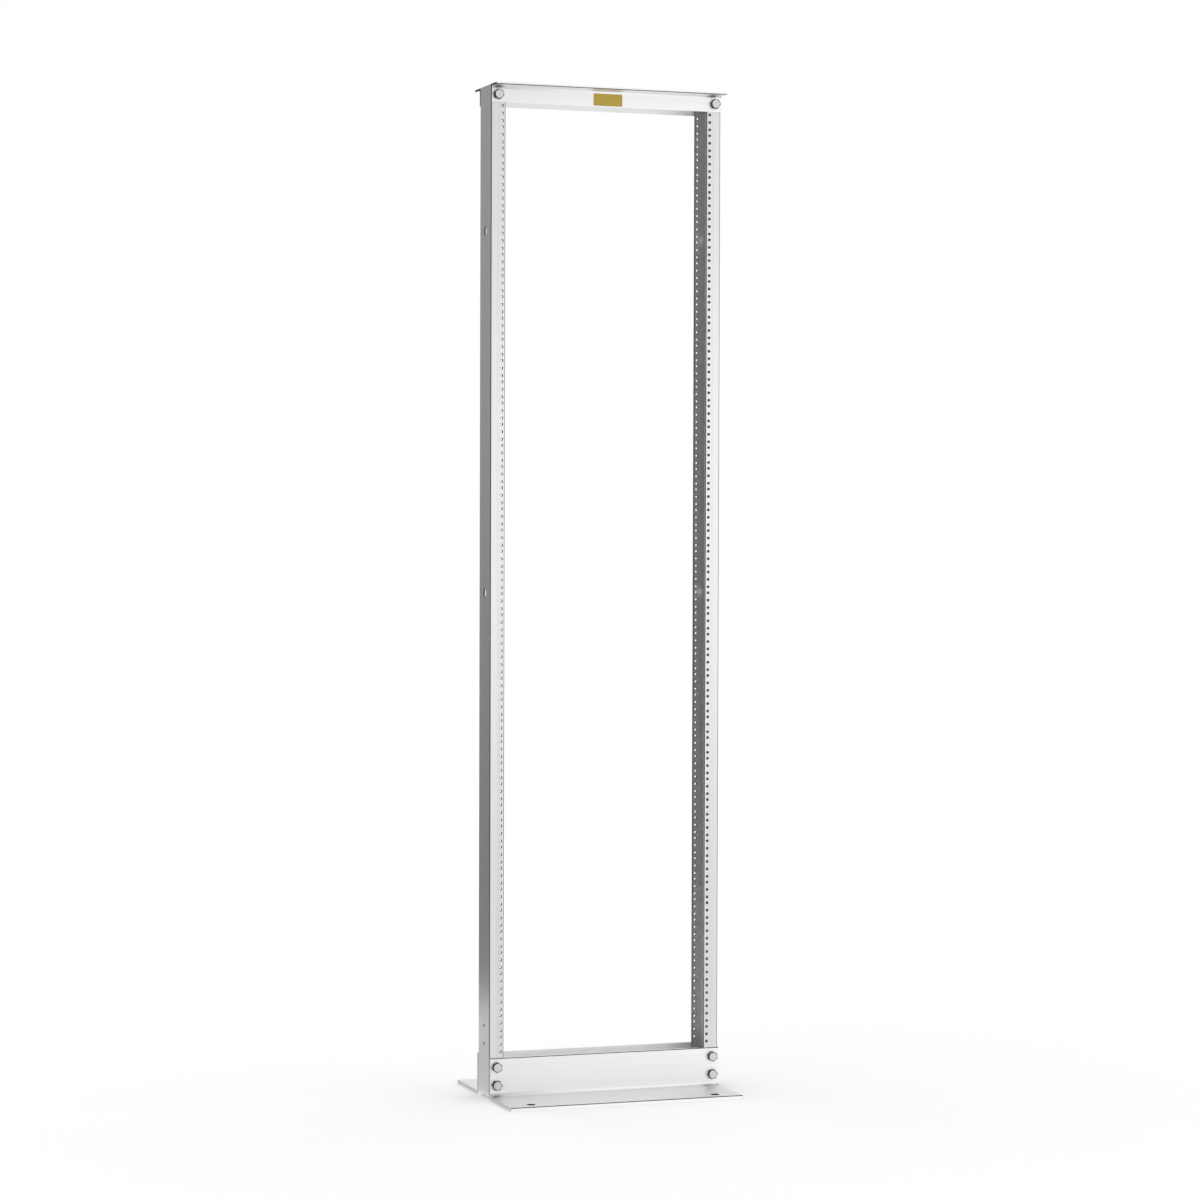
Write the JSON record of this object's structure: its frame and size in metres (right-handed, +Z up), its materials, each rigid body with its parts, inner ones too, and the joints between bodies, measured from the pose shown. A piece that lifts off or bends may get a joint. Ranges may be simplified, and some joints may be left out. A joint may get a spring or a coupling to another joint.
{
  "type": "two post open frame rack",
  "caption": "Free-standing open rack: channel uprights with tapped equipment holes in both flanges, tied by angles at the top and standing on angle feet.",
  "frame": {"origin": "on the floor, below the middle of the frame in width and depth", "axes": "+X across the rack to its right, +Y from front to back, +Z up"},
  "size_m": [0.5144, 0.381, 2.1336],
  "materials": {
    "natural_aluminium": "plain extruded, faintly streaked along its length",
    "zinc_plated_steel": "pale zinc plate on the bolts, nuts and washers",
    "brass_plate": "satin, on the blank plate of the top angle"
  },
  "bodies": {
    "root": {"left_upright": "natural_aluminium", "right_upright": "natural_aluminium", "front_top_angle": "natural_aluminium", "rear_top_angle": "natural_aluminium", "front_base_angle": "natural_aluminium", "rear_base_angle": "natural_aluminium"}
  },
  "joints": []
}
